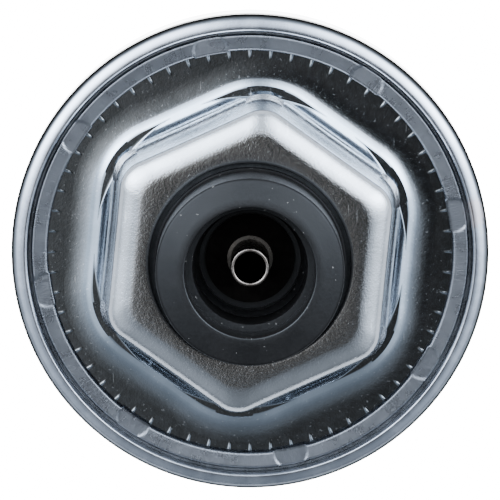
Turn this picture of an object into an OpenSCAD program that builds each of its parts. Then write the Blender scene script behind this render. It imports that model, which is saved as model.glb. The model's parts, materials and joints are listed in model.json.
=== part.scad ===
// Oil pressure sender with a gauge output: a threaded port, a crimped can, a hex drive cover
// and a single-pin round connector. Z is the sender's axis, and the origin is on that axis
// at the lower end of the port thread. Millimetres.

/* [Port] */
// Outside diameter of the port thread at its large end
port_thread_d = 13.7; // [12:0.1:18]
// Length of the port thread
port_thread_len = 12; // [10:0.5:18]
// Distance between neighbouring thread crests
thread_pitch = 1.41; // [1:0.01:2]
// Depth of the thread
thread_depth = 0.9; // [0.5:0.05:1.2]
// Diameter of the pressure passage
passage_d = 5; // [2:0.1:6]
// Length of the plain neck above the thread
neck_len = 3; // [1:0.5:6]
// Diameter of the collar under the can
collar_d = 24; // [20:0.5:28]
// Height of the collar
collar_h = 2.5; // [1.5:0.1:5]

/* [Can] */
// Outside diameter of the can over its rolled edge
can_d = 47.6; // [46:0.2:60]
// How far the can's body stands in from the short collar under the rolled edge
collar_step = 1.3; // [1:0.1:2]
// Thickness of the can's sheet
can_wall = 1.2; // [1:0.05:1.5]
// Outside diameter of the shallow dish that holds the oil
dish_d = 38; // [34:0.5:40]
// Depth of the dish below the ledge
dish_depth = 5; // [4:0.5:8]
// Height of the spacer sleeve, which sets the length of the can
sleeve_h = 14; // [14:0.5:22]
// Radius of the rolled edge's outer curve
roll_r = 1.35; // [1:0.05:1.5]
// Inside diameter of the crimped lip
lip_bore = 40.4; // [39:0.2:42]
// Number of stake marks around the lip's inner edge
stake_count = 8; // [4:1:12]
// Diameter of one stake mark
stake_d = 3.4; // [2:0.1:4]
// Turn of the first stake mark about the axis, in degrees
stake_turn = 10.8; // [0:0.1:45]

/* [Hex cover] */
// Width across the flats of the hex
hex_af = 27; // [24:0.5:30]
// Height of the hex above the cover's flange
hex_h = 9.7; // [8:0.1:14]
// Radius of the hex's upright corners
hex_corner_r = 3.2; // [2:0.1:5]
// Thickness of the cover's sheet
cover_wall = 1.2; // [0.8:0.1:1.5]
// Turn of the hex about the axis, in degrees
hex_turn = -5.7; // [-30:0.1:30]

/* [Connector] */
// Outside diameter of the connector shell
shell_d = 18.3; // [17:0.1:19]
// Height of the connector's face above the top of the hex
shell_proud = 7.3; // [5:0.1:14]
// Fall of the face from the socket's mouth to its outer edge
face_fall = 0.3; // [0:0.05:0.6]
// Bore of the socket's mouth
socket_d = 12.7; // [11.6:0.1:14]
// Depth of the socket below the face
socket_depth = 12; // [10:0.5:15]
// Diameter of the terminal pin
pin_d = 3.8; // [3:0.1:4.4]
// Bore of the terminal pin
pin_bore = 3; // [2:0.1:3.4]
// Distance from the face down to the tip of the pin
pin_below_face = 4.3; // [3:0.1:6]

/* [Mechanism] */
// Travel of the pusher between no pressure and full pressure
stroke = 1; // [0.6:0.1:1.2]
// Distance from the rocker's pivot to the pusher's axis
rocker_arm = 2.5; // [2.3:0.1:3]
// Distance from the pivot to the wiper's contact
wiper_len = 11.2; // [10:0.2:12]
// Diameter of the pusher's post
post_d = 3; // [2:0.1:3.4]
// Diameter of the pivot pin
pivot_d = 1.5; // [1:0.1:1.6]
// Wire diameter of the range spring
range_wire = 0.9; // [0.6:0.05:1]
// Radial clearance of a running fit
run_fit = 0.05; // [0.02:0.01:0.1]

/* [Hidden] */
$fn = 96;

// Heights of the port and the dish
neck_d = port_thread_d - 2 * thread_depth;
collar_z = port_thread_len + neck_len;
can_z = collar_z + collar_h;
dish_floor = can_z + can_wall;
ledge_z = can_z + dish_depth + can_wall;
spigot_d = neck_d;
stake_head_h = 1.5;
snubber_z = 2;
snubber_h = 5;
orifice_d = 0.6;

// Clamped stack, from the ledge up, with its wider pieces in the can's collar
body_r = can_d / 2 - collar_step;
stack_r = body_r - can_wall - 0.3;
clamp_r = can_d / 2 - can_wall - 0.3;
ring_bore_r = dish_d / 2 - can_wall + 0.3;
gasket_t = 0.8;
diaphragm_t = 0.3;
support_t = 1;
cover_gasket_t = 0.6;
diaphragm_z = ledge_z + gasket_t;
support_z = diaphragm_z + diaphragm_t;
sleeve_z = support_z + support_t;
disc_z = sleeve_z + sleeve_h;
disc_t = 3;
cover_gasket_z = disc_z + disc_t;
flange_z = cover_gasket_z + cover_gasket_t;
flange_top = flange_z + cover_wall;
lip_top = flange_top + 1;

// Rolled edge of the can, whose inner side has a tighter curve than its outer side
roll_axis_r = can_d / 2 - roll_r;
roll_top = flange_top + 2;
roll_inner_bend = 0.25;
roll_inner_r = roll_axis_r - roll_inner_bend;
lip_r = roll_inner_r - 0.4;
groove_z = flange_top + 0.5;
stake_depth = 0.3;

// Hex cover, each height measured from the flange's top
hex_apothem = hex_af / 2;
foot_r = 2.3;
foot_apothem = hex_apothem + 0.5 + foot_r;
hex_round_r = 2.1;
hex_top = flange_top + hex_h;
cover_hole_r = shell_d / 2 + 0.75;

// Connector
shell_r = shell_d / 2;
face_z = hex_top + shell_proud;
seat_r = cover_hole_r + 0.6;
seal_t = 1.5;
seat_z = hex_top - cover_wall - seal_t;
seal_groove_r = shell_r - 0.25;
shell_base_r = shell_r + 0.25;
shell_base_top = hex_top + 0.1;
socket_r = socket_d / 2;
step_r = socket_r - 0.75;
well_r = step_r - 0.6;
mouth_floor = face_z - pin_below_face + 0.3;
socket_floor = face_z - socket_depth;
washer_t = 0.4;
pin_r = pin_d / 2;
shank_r = pin_r + 0.35;
pin_top = face_z - pin_below_face;
strap_t = 0.4;
strap_w = 2.4;
pin_head_r = shank_r + 1;
pin_head_t = 0.4;
pin_foot = disc_z - strap_t - pin_head_t;

// Spring cup, guide and pusher
shelf_z = support_z + 3.2;
shelf_r = ring_bore_r - 0.6;
cup_r = 7.6;
cup_z = shelf_z + 5;
foot_disc_r = 6;
foot_t = 1.1;
foot_gap = 0.1;
pusher_z = support_z + foot_gap;
spring_seat = pusher_z + foot_t;
bush_flange_t = 0.8;
spring_top = cup_z - support_t - bush_flange_t;
post_r = post_d / 2;
nose_r = post_r * 0.6;
bush_r = post_r + run_fit + 1.2;
bush_top = cup_z + 1;
pusher_top = bush_top + 0.4;
post_top = bush_top - 0.6;
centre_flat_r = foot_disc_r + 1;

// Rocker, turned half its travel below level at rest
half_turn = asin(stroke / 2 / rocker_arm);
screw_r = 0.6;
screw_tip_r = 0.5;
screw_drop = 0.6;
tip_gap = 0.05;
pivot_x = -rocker_arm;
pivot_z = pusher_top + tip_gap + screw_tip_r + screw_drop * cos(half_turn) + stroke / 2;
bar_t = 1;
hub_r = pivot_d / 2 + 0.75;
hub_w = 3.8;
wiper_t = 0.4;
wiper_slope = 10.5;
contact_h = 0.6;
contact_gap = 0.06;
ear_y = 3.2;
frame_t = 0.6;
pivot_half_len = ear_y + frame_t + 0.8;
clip_t = 0.4;
rivet_head_t = 0.25;
frame_rivet_r = 0.5;
frame_rivet_x = 4.7;
frame_rivet_y = 2.4;
arm_rivet_r = 0.3;
arm_rivet_x = [-2.4, 2];
arm_rivet_bite = 0.8;

// Resistor card, standing beside the wiper's arc
card_t = 0.8;
card_w = 5;
winding_wire = 0.4;
winding_pitch = 0.56;
winding_turns = 12;
card_x = pivot_x - wiper_len * cos(wiper_slope);
card_mid_z = pivot_z - wiper_len * sin(wiper_slope);
card_face_y = hub_w / 2 + wiper_t + contact_h + contact_gap + winding_wire;
card_bottom = shelf_z + 0.6;
card_top = disc_z - strap_t;
holder_h = 1.8;

// Rounded hexagon, as a polar radius for an apothem and a corner radius
function hex_radius(angle, apothem, corner) =
    let (off = abs((angle + 390) % 60 - 30))
    apothem * tan(off) <= (apothem - corner) * tan(30)
        ? apothem / cos(off)
        : let (reach = (apothem - corner) / cos(30), side = reach * sin(30 - off))
          reach * cos(30 - off) + sqrt(corner * corner - side * side);

// One closed ring of points around the cover
function cover_ring(apothem, corner, z) =
    [for (i = [0:71]) let (a = i * 5, r = hex_radius(a, apothem, corner))
        [r * cos(a + hex_turn), r * sin(a + hex_turn), z]];

// Points of an arc in the half plane of a turned profile
function arc(r, z, radius, from, to, steps) =
    [for (i = [0:steps]) let (a = from + (to - from) * i / steps)
        [r + radius * cos(a), z + radius * sin(a)]];

// Triangles that join rings of points end to end, the last ring to the first
function ring_faces(rings, count) =
    [for (i = [0:rings - 1], j = [0:count - 1], half = [0, 1])
        let (
            a = i * count,
            b = ((i + 1) % rings) * count,
            k = (j + 1) % count
        )
        half == 0 ? [a + j, b + j, a + k] : [a + k, b + j, b + k]];

// Round wire along a coil about Z, with closed ends and a straight lead before its start
module coil(mean_r, wire_d, turns, height, steps, lead = 0) {
    sides = 8;
    coil_rings = steps * turns;
    start = lead > 0 ? -1 : 0;
    last_ring = coil_rings - start;
    points = [for (i = [start:coil_rings], s = [0:sides - 1])
        let (
            a = 360 * max(i, 0) / steps,
            b = 360 * s / sides,
            r = mean_r + wire_d / 2 * cos(b),
            back = i < 0 ? lead : 0
        )
        [r * cos(a), r * sin(a) - back, height * max(i, 0) / coil_rings + wire_d / 2 * sin(b)]];
    walls = [for (i = [0:last_ring - 1], s = [0:sides - 1], half = [0, 1])
        let (a = i * sides, b = a + sides, t = (s + 1) % sides)
        half == 0 ? [a + s, b + s, a + t] : [a + t, b + s, b + t]];
    first_cap = [for (s = [0:sides - 1]) s];
    last_cap = [for (s = [sides - 1:-1:0]) last_ring * sides + s];
    polyhedron(points, concat(walls, [first_cap], [last_cap]));
}

// Straight cylinder along Y from one place to another
module y_rod(r, from, to) {
    translate([0, from, 0])
        rotate([-90, 0, 0])
            cylinder(r = r, h = to - from);
}

// Places a child on the rocker's pivot, in the rocker's own level frame
module on_rocker() {
    translate([pivot_x, 0, pivot_z])
        rotate([0, half_turn, 0])
            children();
}

// Places a child at each corner of the mechanism frame's base
module frame_corners() {
    for (x = [-frame_rivet_x, frame_rivet_x], y = [-frame_rivet_y, frame_rivet_y])
        translate([x, y, 0])
            children();
}

module port_fitting() {
    turns = floor((port_thread_len - 1) / thread_pitch);
    taper = 1 / 32;
    crest_r = port_thread_d / 2;
    thread = [for (i = [0:turns - 1], side = [0, 1])
        let (
            z = 0.8 + (i + side / 2) * thread_pitch,
            r = crest_r - taper * (port_thread_len - z)
        )
        [r - side * thread_depth, z]];
    profile = concat(
        [[passage_d / 2, 0], [neck_d / 2 - 0.3, 0]],
        thread,
        [
            [crest_r, port_thread_len - 0.6],
            [neck_d / 2, port_thread_len],
            [neck_d / 2, collar_z],
            [collar_d / 2, collar_z],
            [collar_d / 2, can_z],
            [spigot_d / 2, can_z],
            [spigot_d / 2, dish_floor],
            [spigot_d / 2 + 1.4, dish_floor],
            [spigot_d / 2 + 1, dish_floor + stake_head_h],
            [passage_d / 2, dish_floor + stake_head_h]
        ]
    );
    color("silver")
        rotate_extrude()
            polygon(profile);
}

module pressure_snubber() {
    color("goldenrod")
        translate([0, 0, snubber_z])
            difference() {
                cylinder(d = passage_d, h = snubber_h);
                translate([0, 0, -1])
                    cylinder(d = orifice_d, h = snubber_h + 2);
            }
}

module base_can() {
    wall_r = can_d / 2;
    outer_bend = can_wall + 0.6;
    inner_bend = 0.3;
    ledge_bend = 0.7;
    step_bend = 0.4;
    collar_bend = 0.8;
    dish_r = dish_d / 2;
    ledge_under = ledge_z - can_wall;
    step_under = disc_z - can_wall;
    profile = concat(
        [[spigot_d / 2, dish_floor], [spigot_d / 2, can_z]],
        arc(dish_r - 2, can_z + 2, 2, -90, 0, 6),
        arc(dish_r + ledge_bend, ledge_under - ledge_bend, ledge_bend, 180, 90, 5),
        arc(body_r - outer_bend, ledge_under + outer_bend, outer_bend, -90, 0, 8),
        arc(body_r + step_bend, step_under - step_bend, step_bend, 180, 90, 4),
        arc(wall_r - collar_bend, step_under + collar_bend, collar_bend, -90, 0, 6),
        arc(roll_axis_r, roll_top - roll_r, roll_r, 0, 90, 12),
        arc(roll_axis_r, roll_top - roll_inner_bend, roll_inner_bend, 105, 180, 5),
        [
            [roll_inner_r, groove_z],
            [lip_r, groove_z],
            [lip_r, lip_top],
            [lip_bore / 2, lip_top],
            [lip_bore / 2, flange_top],
            [wall_r - can_wall, flange_top],
            [wall_r - can_wall, disc_z],
            [body_r - can_wall, disc_z]
        ],
        arc(body_r - can_wall - inner_bend, ledge_z + inner_bend, inner_bend, 0, -90, 5),
        [[dish_r - can_wall, ledge_z], [dish_r - can_wall, dish_floor]]
    );
    color("lightsteelblue")
        difference() {
            rotate_extrude()
                polygon(profile);
            for (i = [0:stake_count - 1])
                rotate([0, 0, stake_turn + i * 360 / stake_count])
                    translate([lip_bore / 2, 0, lip_top - stake_depth])
                        cylinder(d = stake_d, h = 1, $fn = 32);
        }
}

module clamp_ring(z, thickness, outer_r, bore_r) {
    translate([0, 0, z])
        difference() {
            cylinder(r = outer_r, h = thickness);
            translate([0, 0, -1])
                cylinder(r = bore_r, h = thickness + 2);
        }
}

module diaphragm_gasket() {
    color("dimgray")
        clamp_ring(ledge_z, gasket_t, stack_r, ring_bore_r);
}

module diaphragm() {
    steps = 48;
    wave = function (r) r < centre_flat_r || r > shelf_r ? 0
        : 0.4 * sin((r - centre_flat_r) / (shelf_r - centre_flat_r) * 360 * 3);
    radii = [for (i = [0:steps]) stack_r * i / steps];
    lower = [for (r = radii) [r, diaphragm_z + wave(r)]];
    upper = [for (i = [steps:-1:0]) [radii[i], support_z + wave(radii[i])]];
    color("gainsboro")
        rotate_extrude()
            polygon(concat(lower, upper));
}

module diaphragm_support() {
    bend = 1;
    profile = [
        [stack_r, support_z],
        [stack_r, sleeve_z],
        [ring_bore_r + bend, sleeve_z],
        [shelf_r, shelf_z],
        [cup_r, shelf_z],
        [cup_r, cup_z],
        [bush_r, cup_z],
        [bush_r, cup_z - support_t],
        [cup_r - support_t, cup_z - support_t],
        [cup_r - support_t, shelf_z - support_t],
        [shelf_r - bend, shelf_z - support_t],
        [ring_bore_r, support_z]
    ];
    color("darkgray")
        rotate_extrude()
            polygon(profile);
}

module guide_bush() {
    color("goldenrod")
        difference() {
            union() {
                translate([0, 0, spring_top])
                    cylinder(r = bush_r + 1.5, h = bush_flange_t);
                translate([0, 0, spring_top])
                    cylinder(r = bush_r, h = bush_top - spring_top);
            }
            translate([0, 0, spring_top - 1])
                cylinder(r = post_r + run_fit, h = bush_top - spring_top + 2);
        }
}

module range_spring() {
    gap = 0.03;
    height = spring_top - spring_seat - range_wire - 2 * gap;
    color("slategray")
        translate([0, 0, spring_seat + gap + range_wire / 2])
            coil(foot_disc_r - range_wire, range_wire, 3.5, height, 24);
}

module pusher() {
    color("tan")
        union() {
            translate([0, 0, pusher_z])
                cylinder(r = foot_disc_r, h = foot_t);
            translate([0, 0, pusher_z])
                cylinder(r = post_r, h = post_top - pusher_z);
            translate([0, 0, pusher_z])
                cylinder(r = nose_r, h = pusher_top - pusher_z);
        }
}

module spacer_sleeve() {
    color("silver")
        clamp_ring(sleeve_z, sleeve_h, stack_r, stack_r - 1.2);
}

module mechanism_frame() {
    base_x = 11.6;
    base_y = 2 * (ear_y + frame_t);
    ear_w = 3.6;
    color("burlywood")
        difference() {
            union() {
                translate([-base_x / 2, -base_y / 2, cup_z])
                    cube([base_x, base_y, frame_t]);
                for (side = [-1, 1])
                    translate([pivot_x, side * (ear_y + frame_t / 2), 0]) {
                        translate([-ear_w / 2, -frame_t / 2, cup_z])
                            cube([ear_w, frame_t, pivot_z - cup_z]);
                        translate([0, 0, pivot_z])
                            y_rod(ear_w / 2, -frame_t / 2, frame_t / 2);
                    }
            }
            translate([0, 0, cup_z - 1])
                cylinder(r = bush_r, h = frame_t + 2);
            translate([pivot_x, 0, pivot_z])
                y_rod(pivot_d / 2, -pivot_half_len, pivot_half_len);
            frame_corners()
                translate([0, 0, cup_z - 1])
                    cylinder(r = frame_rivet_r, h = frame_t + 2);
        }
}

module frame_rivets() {
    color("silver")
        frame_corners()
            union() {
                translate([0, 0, cup_z])
                    cylinder(r = frame_rivet_r, h = frame_t + rivet_head_t);
                translate([0, 0, cup_z + frame_t])
                    cylinder(r = frame_rivet_r + 0.4, h = rivet_head_t);
            }
}

module pivot_pin() {
    color("silver")
        translate([pivot_x, 0, pivot_z])
            y_rod(pivot_d / 2, -pivot_half_len, pivot_half_len);
}

module pivot_clips() {
    color("dimgray")
        translate([pivot_x, 0, pivot_z])
            for (side = [-1, 1])
                translate([0, side * (ear_y + frame_t + 0.05 + clip_t / 2), 0])
                    difference() {
                        y_rod(pivot_d / 2 + 0.7, -clip_t / 2, clip_t / 2);
                        y_rod(pivot_d / 2, -clip_t, clip_t);
                    }
}

module rocker() {
    bar_back = 3.2;
    bar_front = rocker_arm + 1.1;
    color("peru")
        on_rocker()
            difference() {
                union() {
                    y_rod(hub_r, -hub_w / 2, hub_w / 2);
                    translate([-bar_back, -hub_w / 2, -bar_t / 2])
                        cube([bar_back + bar_front, hub_w, bar_t]);
                }
                y_rod(pivot_d / 2 + run_fit, -hub_w, hub_w);
                translate([rocker_arm, 0, -bar_t])
                    cylinder(r = screw_r, h = 2 * bar_t);
                rivet_holes();
            }
}

// Places a child at each rivet that holds the wiper's arm to the rocker
module arm_rivets() {
    for (x = arm_rivet_x)
        translate([x, 0, x * tan(wiper_slope) / 2])
            children();
}

module rivet_holes() {
    arm_rivets()
        y_rod(arm_rivet_r, hub_w / 2 - arm_rivet_bite, hub_w / 2 + wiper_t + 0.1);
}

module calibration_screw() {
    head_t = 0.5;
    color("silver")
        on_rocker()
            translate([rocker_arm, 0, 0])
                difference() {
                    union() {
                        translate([0, 0, -screw_drop])
                            cylinder(r = screw_r, h = screw_drop + bar_t / 2 + 0.2);
                        translate([0, 0, -screw_drop])
                            sphere(r = screw_tip_r, $fn = 32);
                        translate([0, 0, bar_t / 2 + 0.05])
                            cylinder(r = screw_r + 0.4, h = head_t);
                    }
                    translate([-2, -0.12, bar_t / 2 + 0.3])
                        cube([4, 0.24, 1]);
                }
}

module wiper_arm() {
    tip_r = 0.6;
    root_x = 2.6;
    color("khaki")
        on_rocker()
            difference() {
                rotate([0, -wiper_slope, 0])
                    union() {
                        translate([-wiper_len, hub_w / 2, -tip_r])
                            cube([wiper_len + root_x, wiper_t, 2 * tip_r]);
                        translate([-wiper_len, 0, 0])
                            y_rod(tip_r, hub_w / 2, hub_w / 2 + wiper_t);
                        y_rod(hub_r, hub_w / 2, hub_w / 2 + wiper_t);
                    }
                y_rod(pivot_d / 2 + run_fit, 0, hub_w);
                rivet_holes();
            }
}

module wiper_rivets() {
    head_y = hub_w / 2 + wiper_t;
    color("silver")
        on_rocker()
            arm_rivets()
                union() {
                    y_rod(arm_rivet_r, hub_w / 2 - arm_rivet_bite, head_y + rivet_head_t);
                    y_rod(arm_rivet_r + 0.2, head_y, head_y + rivet_head_t);
                }
}

module wiper_contact() {
    color("gold")
        on_rocker()
            rotate([0, -wiper_slope, 0])
                translate([-wiper_len, hub_w / 2 + wiper_t, 0])
                    rotate([-90, 0, 0])
                        cylinder(r1 = 0.55, r2 = 0.35, h = contact_h, $fn = 48);
}

module return_spring() {
    wire = 0.3;
    mean_r = pivot_d / 2 + 0.55;
    height = ear_y - hub_w / 2 - wire - 0.2;
    leg = pivot_z - cup_z - frame_t - 0.05;
    color("slategray")
        translate([pivot_x, -ear_y + 0.1 + wire / 2, pivot_z])
            rotate([-90, 0, 0])
                rotate([0, 0, 180])
                    coil(mean_r, wire, 1.5, height, 16, leg);
}

module card_holder() {
    base_w = card_w + 1.6;
    base_t = card_t + 1.4;
    color("saddlebrown")
        difference() {
            translate([card_x - base_w / 2, card_face_y + card_t / 2 - base_t / 2, shelf_z])
                cube([base_w, base_t, holder_h]);
            card_outline();
        }
}

module card_outline() {
    translate([card_x - card_w / 2, card_face_y, card_bottom])
        cube([card_w, card_t, card_top - card_bottom]);
}

module resistor_card() {
    color("firebrick")
        card_outline();
}

module resistor_winding() {
    first_z = card_mid_z - (winding_turns - 1) * winding_pitch / 2;
    color("gray")
        for (i = [0:winding_turns - 1])
            translate([card_x, card_face_y + card_t / 2, first_z + i * winding_pitch])
                difference() {
                    cube([card_w + 2 * winding_wire, card_t + 2 * winding_wire, winding_wire],
                         center = true);
                    cube([card_w, card_t, 2 * winding_wire], center = true);
                }
}

module contact_strap() {
    card_mid_y = card_face_y + card_t / 2;
    run = norm([card_x, card_mid_y]);
    tab_y = card_face_y + card_t;
    color("gold")
        difference() {
            union() {
                translate([0, 0, card_top])
                    rotate([0, 0, atan2(card_mid_y, card_x)])
                        translate([0, -strap_w / 2, 0])
                            cube([run, strap_w, strap_t]);
                translate([0, 0, card_top])
                    cylinder(r = pin_head_r, h = strap_t);
                translate([card_x, card_mid_y, card_top])
                    cylinder(d = strap_w + 0.8, h = strap_t);
                translate([card_x - strap_w / 2, tab_y, card_top - 1.2])
                    cube([strap_w, strap_t, 1.2 + strap_t]);
            }
            translate([0, 0, card_top - 1])
                cylinder(r = shank_r, h = 3);
        }
}

module terminal_pin() {
    rim_r = (pin_d - pin_bore) / 4;
    rim_mid = (pin_d + pin_bore) / 4;
    bore_r = pin_bore / 2;
    profile = concat(
        [
            [0, pin_foot],
            [pin_head_r, pin_foot],
            [pin_head_r, pin_foot + pin_head_t],
            [shank_r, pin_foot + pin_head_t],
            [shank_r, socket_floor + washer_t],
            [pin_r, socket_floor + washer_t]
        ],
        arc(rim_mid, pin_top - rim_r, rim_r, 0, 180, 8),
        [[bore_r, socket_floor - 2], [0, socket_floor - 2 - bore_r / 2]]
    );
    color("lightgray")
        rotate_extrude()
            polygon(profile);
}

module terminal_washer() {
    color("silver")
        translate([0, 0, socket_floor])
            difference() {
                cylinder(r = well_r - 0.6, h = washer_t);
                translate([0, 0, -1])
                    cylinder(r = shank_r, h = 3);
            }
}

module connector_body() {
    edge = 0.4;
    profile = [
        [shank_r, disc_z],
        [clamp_r, disc_z],
        [clamp_r, cover_gasket_z],
        [seat_r, cover_gasket_z],
        [seat_r, seat_z],
        [seal_groove_r, seat_z],
        [seal_groove_r, seat_z + seal_t],
        [shell_base_r, seat_z + seal_t],
        [shell_base_r, shell_base_top],
        [shell_r, shell_base_top],
        [shell_r, face_z - face_fall - edge],
        [shell_r - edge, face_z - face_fall],
        [socket_r + edge / 2, face_z],
        [socket_r, face_z - edge / 2],
        [socket_r, mouth_floor],
        [step_r, mouth_floor - 0.7],
        [step_r, socket_floor + 2.4],
        [well_r, socket_floor + 1.8],
        [well_r, socket_floor],
        [shank_r, socket_floor]
    ];
    color("#202022")
        rotate_extrude()
            polygon(profile);
}

module connector_seal() {
    color("black")
        translate([0, 0, seat_z])
            difference() {
                cylinder(r = seat_r, h = seal_t);
                translate([0, 0, -1])
                    cylinder(r = seal_groove_r, h = seal_t + 2);
            }
}

module cover_gasket() {
    color("dimgray")
        clamp_ring(cover_gasket_z, cover_gasket_t, clamp_r, foot_apothem + 2.2);
}

module hex_cover() {
    round_r = hex_apothem - 0.2;
    wall_top = hex_h - hex_round_r * 0.8;
    wall_low = foot_r + 0.2;
    top_apothem = round_r - hex_round_r;
    flange_r = clamp_r;
    t = cover_wall;
    foot_corner = 9;
    foot = [for (i = [0:4])
        let (a = i * 20)
        cover_ring(
            foot_apothem - foot_r * sin(a),
            foot_corner + (hex_corner_r - foot_corner) * i / 4,
            flange_top + foot_r * (1 - cos(a))
        )];
    shoulder = [for (i = [0:5])
        let (a = i * 16)
        cover_ring(
            top_apothem + hex_round_r * cos(a),
            hex_corner_r,
            hex_top - (hex_h - wall_top) * (1 - sin(a) / sin(80))
        )];
    rings = concat(
        [cover_ring(flange_r, flange_r, flange_z), cover_ring(flange_r, flange_r, flange_top)],
        foot,
        [cover_ring(hex_apothem + 0.3, hex_corner_r, flange_top + wall_low)],
        shoulder,
        [
            cover_ring(cover_hole_r, cover_hole_r, hex_top),
            cover_ring(cover_hole_r, cover_hole_r, hex_top - t),
            cover_ring(top_apothem, hex_corner_r - 0.6, hex_top - t),
            cover_ring(round_r - t, hex_corner_r - t, flange_top + wall_top - 0.4),
            cover_ring(hex_apothem + 0.3 - t, hex_corner_r - t, flange_top + wall_low),
            cover_ring(foot_apothem - 1.4, foot_corner - t, flange_z)
        ]
    );
    points = [for (ring = rings, p = ring) p];
    color("lightsteelblue")
        polyhedron(points, ring_faces(len(rings), 72));
}

port_fitting();
pressure_snubber();
base_can();
diaphragm_gasket();
diaphragm();
diaphragm_support();
guide_bush();
range_spring();
pusher();
spacer_sleeve();
mechanism_frame();
frame_rivets();
pivot_pin();
pivot_clips();
rocker();
calibration_screw();
wiper_arm();
wiper_rivets();
wiper_contact();
return_spring();
card_holder();
resistor_card();
resistor_winding();
contact_strap();
terminal_pin();
terminal_washer();
connector_body();
connector_seal();
cover_gasket();
hex_cover();
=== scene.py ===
"""Looks of an oil pressure sender: a crimped can, a stamped hex cover, a round black
connector with one tubular pin, a threaded port, and the mechanism inside.
Lengths are metres in the part's own frame; profiles are written in millimetres."""
import json
import math

import bmesh
import bpy
from mathutils import Matrix, Vector


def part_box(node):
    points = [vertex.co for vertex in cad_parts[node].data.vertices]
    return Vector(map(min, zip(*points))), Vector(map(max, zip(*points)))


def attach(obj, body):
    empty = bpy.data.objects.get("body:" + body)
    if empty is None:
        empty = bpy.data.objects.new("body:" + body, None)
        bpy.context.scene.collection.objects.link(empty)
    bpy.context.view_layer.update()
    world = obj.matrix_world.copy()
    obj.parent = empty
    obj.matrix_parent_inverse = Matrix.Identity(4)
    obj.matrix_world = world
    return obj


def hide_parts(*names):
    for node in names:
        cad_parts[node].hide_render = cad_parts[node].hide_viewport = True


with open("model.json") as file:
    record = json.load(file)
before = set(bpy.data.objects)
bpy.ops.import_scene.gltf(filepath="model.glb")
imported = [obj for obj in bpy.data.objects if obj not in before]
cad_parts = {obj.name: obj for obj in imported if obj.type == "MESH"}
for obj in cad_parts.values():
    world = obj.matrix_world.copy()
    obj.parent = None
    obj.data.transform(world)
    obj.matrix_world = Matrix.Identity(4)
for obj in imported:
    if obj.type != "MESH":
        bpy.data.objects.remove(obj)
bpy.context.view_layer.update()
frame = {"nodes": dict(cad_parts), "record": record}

MM = 0.001
BODY = "sender"

# Sizes in millimetres, from the part's own pieces
CAN_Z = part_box("base_can")[0].z / MM
ROLL_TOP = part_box("base_can")[1].z / MM
COVER_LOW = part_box("hex_cover")[0].z / MM
HEX_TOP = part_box("hex_cover")[1].z / MM
FACE_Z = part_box("connector_body")[1].z / MM
DISC_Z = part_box("connector_body")[0].z / MM
PIN_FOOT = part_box("terminal_pin")[0].z / MM
PIN_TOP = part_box("terminal_pin")[1].z / MM
WASHER_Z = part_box("terminal_washer")[0].z / MM
PORT_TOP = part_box("port_fitting")[1].z / MM
CAN_R = -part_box("base_can")[0].x / MM - 0.001
STACK_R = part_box("spacer_sleeve")[1].x / MM
CLAMP_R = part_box("cover_gasket")[1].x / MM
SHEET = 1.2
FLANGE_TOP = COVER_LOW + SHEET

# Rolled edge, lip and stakes
ROLL_R = 1.35
ROLL_AXIS_R = CAN_R - ROLL_R
ROLL_INNER_R = ROLL_AXIS_R - 0.25
GROOVE_Z = FLANGE_TOP + 0.5
LIP_BORE_R = 20.2
LIP_R = ROLL_INNER_R - 0.4
LIP_TOP = FLANGE_TOP + 1.0
SPIGOT_R = 5.95
STAKE_ANGLES = (10.5, 56, 101, 146, 190.5, 235.5, 281.4, 327.4)
STAKE_CENTRE_R = 20.5
STAKE_R = 1.72
STAKE_DEPTH = 0.1

# Hex cover
HEX_TURN = -5.7
HEX_APOTHEM = 13.5
FOOT_R = 2.3
FOOT_APOTHEM = HEX_APOTHEM + 0.5 + FOOT_R
FOOT_CORNER = 9.0
HEX_CORNER = 3.2
LEDGE_CUT_R = 15.5
LEDGE_H = 0.42
FOOT_TILT = 80.0
COVER_HOLE_R = 9.9
FLANGE_SPLIT_R = 18.6
APRON_W = 1.9
APRON_TILT = 7.0
TICK_COUNT = 60
TICK_OUTER_R = 20.3
TICK_INNER_R = 19.4
TICK_H = 0.027

# Connector and pin
SHELL_R = 9.15
PIN_R = 1.9
PIN_BORE_R = 1.5
SHANK_R = 2.25


# ---------------------------------------------------------------- shapes

def arc(radius, height, size, start, stop, steps):
    """Points of an arc in a turned profile, in millimetres and degrees."""
    turns = [math.radians(start + (stop - start) * i / steps) for i in range(steps + 1)]
    return [(radius + size * math.cos(t), height + size * math.sin(t)) for t in turns]


def smooth(low, high, value):
    """Smooth step from 0 at low to 1 at high."""
    t = min(max((value - low) / (high - low), 0.0), 1.0)
    return t * t * (3 - 2 * t)


def mix(a, b, share):
    return a + (b - a) * share


def polar(radius, height, degrees):
    """A point in metres from a place on a profile in millimetres, turned about Z."""
    turn = math.radians(degrees)
    return Vector((radius * math.cos(turn), radius * math.sin(turn), height)) * MM


def finish_piece(bm, name, material, body, nodes, crease=32.0):
    """Makes an object of the mesh, with outward normals. It rides the body in place of
    the nodes."""
    bmesh.ops.remove_doubles(bm, verts=bm.verts[:], dist=0.0005 * MM)
    bmesh.ops.recalc_face_normals(bm, faces=bm.faces[:])
    mesh = bpy.data.meshes.new(name)
    bm.to_mesh(mesh)
    bm.free()
    mesh.polygons.foreach_set("use_smooth", [True] * len(mesh.polygons))
    mesh.set_sharp_from_angle(angle=math.radians(crease))
    mesh.materials.append(material)
    piece = bpy.data.objects.new(name, mesh)
    bpy.context.scene.collection.objects.link(piece)
    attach(piece, body)
    for node in nodes:
        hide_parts(node)
    return piece


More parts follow.
